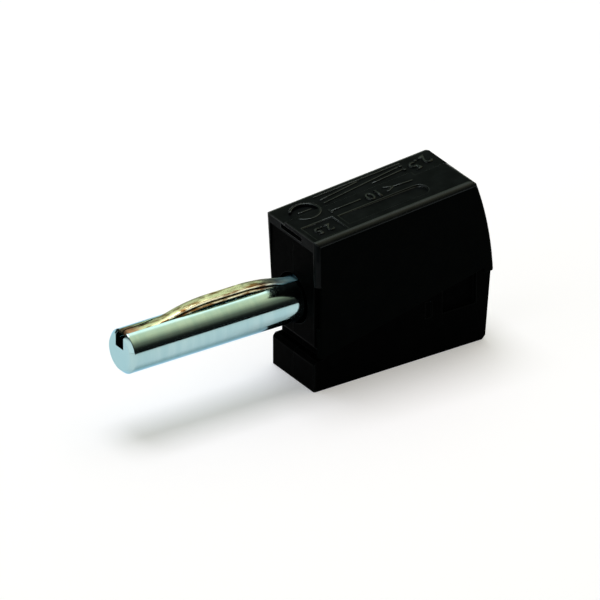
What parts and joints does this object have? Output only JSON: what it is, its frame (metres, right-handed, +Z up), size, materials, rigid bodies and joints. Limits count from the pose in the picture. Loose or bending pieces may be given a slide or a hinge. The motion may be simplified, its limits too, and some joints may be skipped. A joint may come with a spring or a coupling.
{
  "type": "banana plug",
  "caption": "Banana plug with a slotted round pin, a bowed contact leaf and an insulated housing that holds a spring clamp for a conductor.",
  "frame": {"origin": "centre of the bounding box on the plane that the base rests on", "axes": "-X along the pin towards its tip, +X towards the conductor entry, +Z up from the base, Y across the housing with the parting plane at Y = 0"},
  "size_m": [0.036, 0.008, 0.016],
  "materials": {
    "housing": "satin",
    "carrier": "satin",
    "plated_pin": "polished",
    "bronze_leaf": "polished",
    "tinned_bar": "satin",
    "spring_steel": "satin"
  },
  "bodies": {
    "housing": {"hood": "housing", "carrier_left": "carrier", "carrier_right": "carrier", "plug_pin": "plated_pin", "current_bar": "tinned_bar"},
    "leaf": {"contact_leaf": "bronze_leaf"},
    "clamp": {"clamp_spring": "spring_steel"}
  },
  "joints": [
    {"name": "leaf_press", "type": "slide", "parent": "housing", "child": "leaf", "axis": [0, 0, -1], "range_m": [0, 0.00069], "stiffness_N_per_m": 8000, "deforming": ["contact_leaf"]},
    {"name": "clamp_open", "type": "hinge", "parent": "housing", "child": "clamp", "pos_m": [0.00565, 0, 0.0079], "axis": [0, 1, 0], "range_deg": [0, 20], "stiffness_Nm_per_rad": 0.6, "deforming": ["clamp_spring"]}
  ]
}
